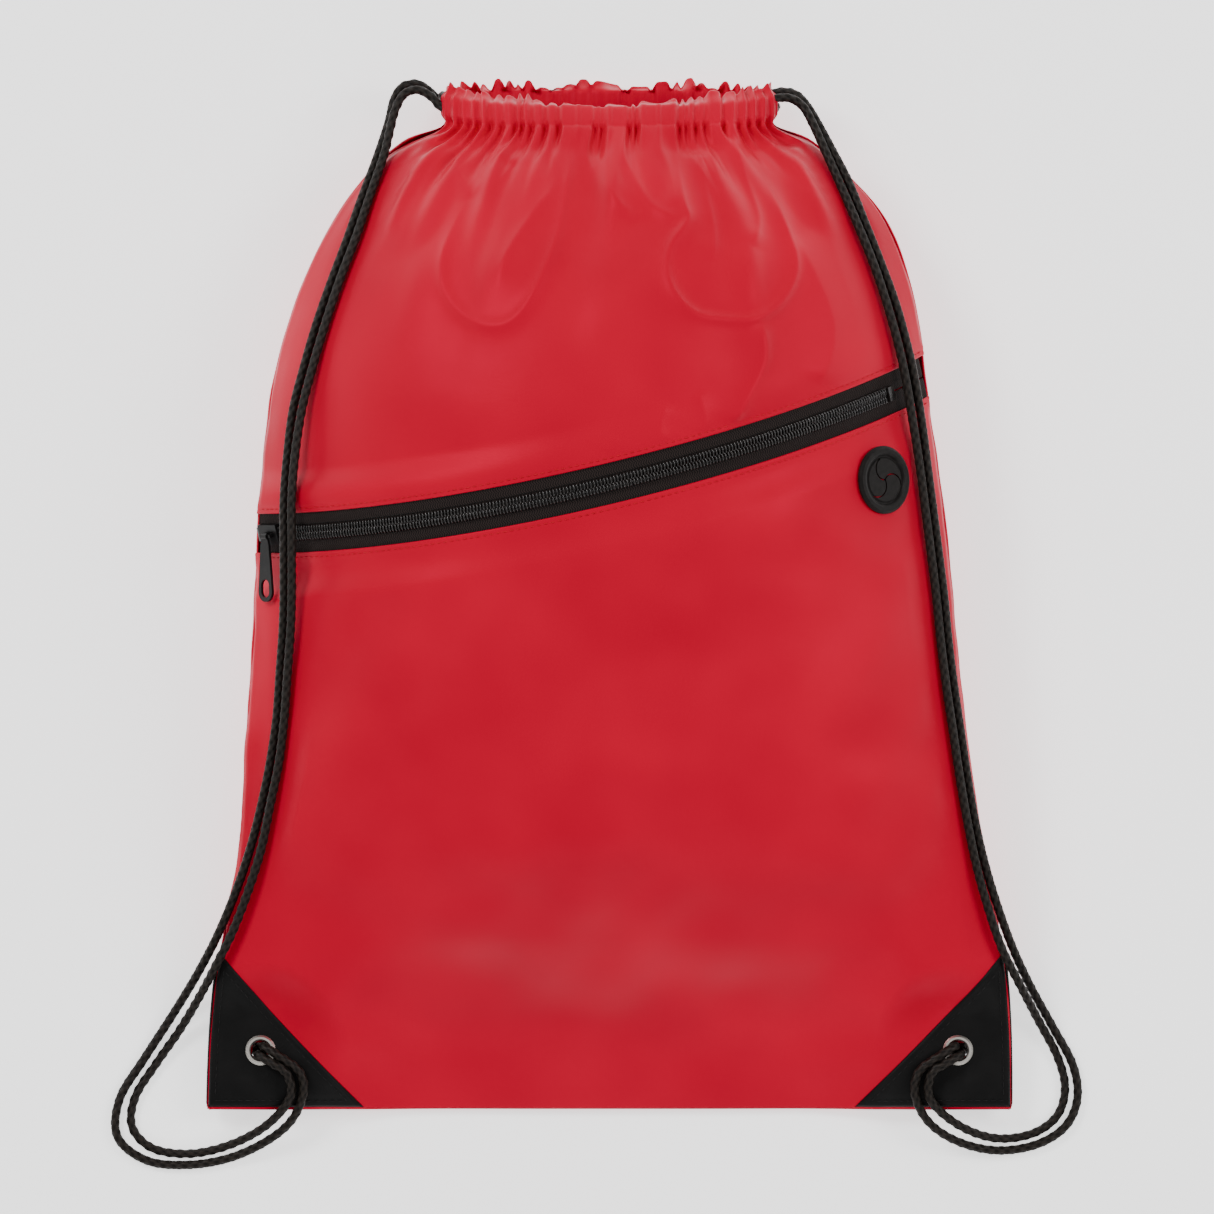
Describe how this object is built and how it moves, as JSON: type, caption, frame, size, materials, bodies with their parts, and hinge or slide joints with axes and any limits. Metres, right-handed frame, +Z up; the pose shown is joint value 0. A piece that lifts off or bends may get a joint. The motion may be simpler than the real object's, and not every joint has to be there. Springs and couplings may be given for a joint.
{
  "type": "drawstring backpack",
  "caption": "Drawstring bag with a gathered mouth, long cords that run to grommets in coated bottom corners as shoulder straps, a slanted zip front pocket and a rubber cable port.",
  "frame": {"origin": "on the floor under the middle of the bag, which lies on its back, measured without the free cords", "axes": "+Y towards the mouth, +Z up out of the front panel, +X to the right seen from above"},
  "size_m": [0.4325, 0.4846, 0.1143],
  "materials": {
    "red_nylon": "thin woven polyester with a satin sheen",
    "lining": "thin woven polyester",
    "coated_patch": "matte embossed leatherette",
    "zip_tape": "woven polyester tape",
    "coil": "nylon coil",
    "slider_metal": "black enamel",
    "port_rubber": "moulded matte rubber",
    "nickel": "nickel plated brass",
    "cord": "round braided polyester"
  },
  "bodies": {
    "bag": {"back_panel": "red_nylon", "front_panel": "red_nylon", "pocket_panel": "red_nylon", "pocket_lining": "lining", "hem_casing_front": "red_nylon", "hem_casing_back": "red_nylon", "patch_front_left": "coated_patch", "patch_front_right": "coated_patch", "patch_back_left": "coated_patch", "patch_back_right": "coated_patch", "grommet_left": "nickel", "grommet_right": "nickel", "grommet_washer_left": "nickel", "grommet_washer_right": "nickel", "zip_tape_upper": "zip_tape", "zip_tape_lower": "zip_tape", "zip_coil_upper": "coil", "zip_coil_lower": "coil", "zip_top_stop": "coil", "zip_bottom_stop": "coil", "cable_port": "port_rubber", "cord_left_outer": "cord", "cord_left_inner": "cord", "cord_right_outer": "cord", "cord_right_inner": "cord", "cord_hem_left": "cord", "cord_hem_right": "cord", "knot_left": "cord", "knot_right": "cord"},
    "slider": {"zip_slider": "slider_metal"},
    "puller": {"zip_puller": "slider_metal"}
  },
  "joints": [
    {"name": "slider_travel", "type": "hinge", "parent": "bag", "child": "slider", "pos_m": [-0.0128, 0.08376, -0.07421], "axis": [-0.2246, 0.9548, 0.1945], "range_deg": [0, 92.5]},
    {"name": "puller_swing", "type": "hinge", "parent": "slider", "child": "puller", "pos_m": [-0.15205, 0.02624, 0.04739], "axis": [-0.6575, -0.0012, -0.7535], "range_deg": [0, 150]}
  ]
}
